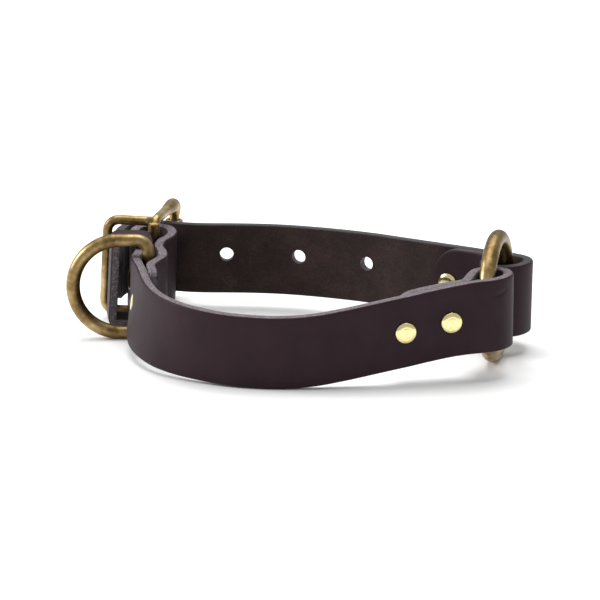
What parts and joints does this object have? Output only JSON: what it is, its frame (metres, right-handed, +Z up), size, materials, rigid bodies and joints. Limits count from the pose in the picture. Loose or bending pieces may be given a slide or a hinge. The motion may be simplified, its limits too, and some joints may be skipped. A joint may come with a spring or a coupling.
{
  "type": "martingale collar",
  "caption": "Riveted leather dog collar made of two straps joined by a centre O-ring, with a D-ring, a keeper loop and a roller buckle.",
  "frame": {"origin": "centre of the collar's bounding box, on the surface that its strap edges stand on", "axes": "+X from the buckle and D-ring towards the O-ring, +Y from the front strap towards the rear strap, +Z up"},
  "size_m": [0.1636, 0.1252, 0.046],
  "materials": {
    "black_leather": "satin grain, suede flesh side",
    "antique_brass": "antiqued, satin",
    "polished_brass": "polished"
  },
  "bodies": {
    "root": {"front_strap": "black_leather", "rear_strap": "black_leather", "keeper_loop": "black_leather", "front_rivet_1_cap": "polished_brass", "front_rivet_1_post": "polished_brass", "front_rivet_2_cap": "polished_brass", "front_rivet_2_post": "polished_brass", "rear_rivet_1_cap": "polished_brass", "rear_rivet_1_post": "polished_brass", "rear_rivet_2_cap": "polished_brass", "rear_rivet_2_post": "polished_brass", "buckle_rivet_1_cap": "polished_brass", "buckle_rivet_1_post": "polished_brass", "buckle_rivet_2_cap": "polished_brass", "buckle_rivet_2_post": "polished_brass"},
    "d_ring": {"d_ring": "antique_brass"},
    "o_ring": {"o_ring": "antique_brass"},
    "buckle": {"buckle_frame": "antique_brass"},
    "roller": {"buckle_roller": "antique_brass"},
    "prong": {"buckle_prong": "antique_brass"}
  },
  "joints": [
    {"name": "d_ring_swing", "type": "hinge", "parent": "root", "child": "d_ring", "pos_m": [-0.05299, 0.00233, 0.019], "axis": [0, 0, 1], "range_deg": [-18, 54]},
    {"name": "o_ring_spin", "type": "hinge", "parent": "root", "child": "o_ring", "pos_m": [0.06811, -0.02467, 0.023], "axis": [0.9759, -0.2181, 0], "continuous": true},
    {"name": "buckle_swing", "type": "hinge", "parent": "root", "child": "buckle", "pos_m": [-0.05359, 0.02983, 0.0004], "axis": [0.0523, 0, 0.9986], "range_deg": [-14, 0]},
    {"name": "prong_swing", "type": "hinge", "parent": "root", "child": "prong", "pos_m": [-0.05359, 0.02983, 0.0004], "axis": [0.0523, 0, 0.9986], "range_deg": [0, 2.2]},
    {"name": "roller_spin", "type": "hinge", "parent": "buckle", "child": "roller", "pos_m": [-0.04699, 0.05848, 0.00005], "axis": [0.0523, 0, 0.9986], "continuous": true}
  ]
}
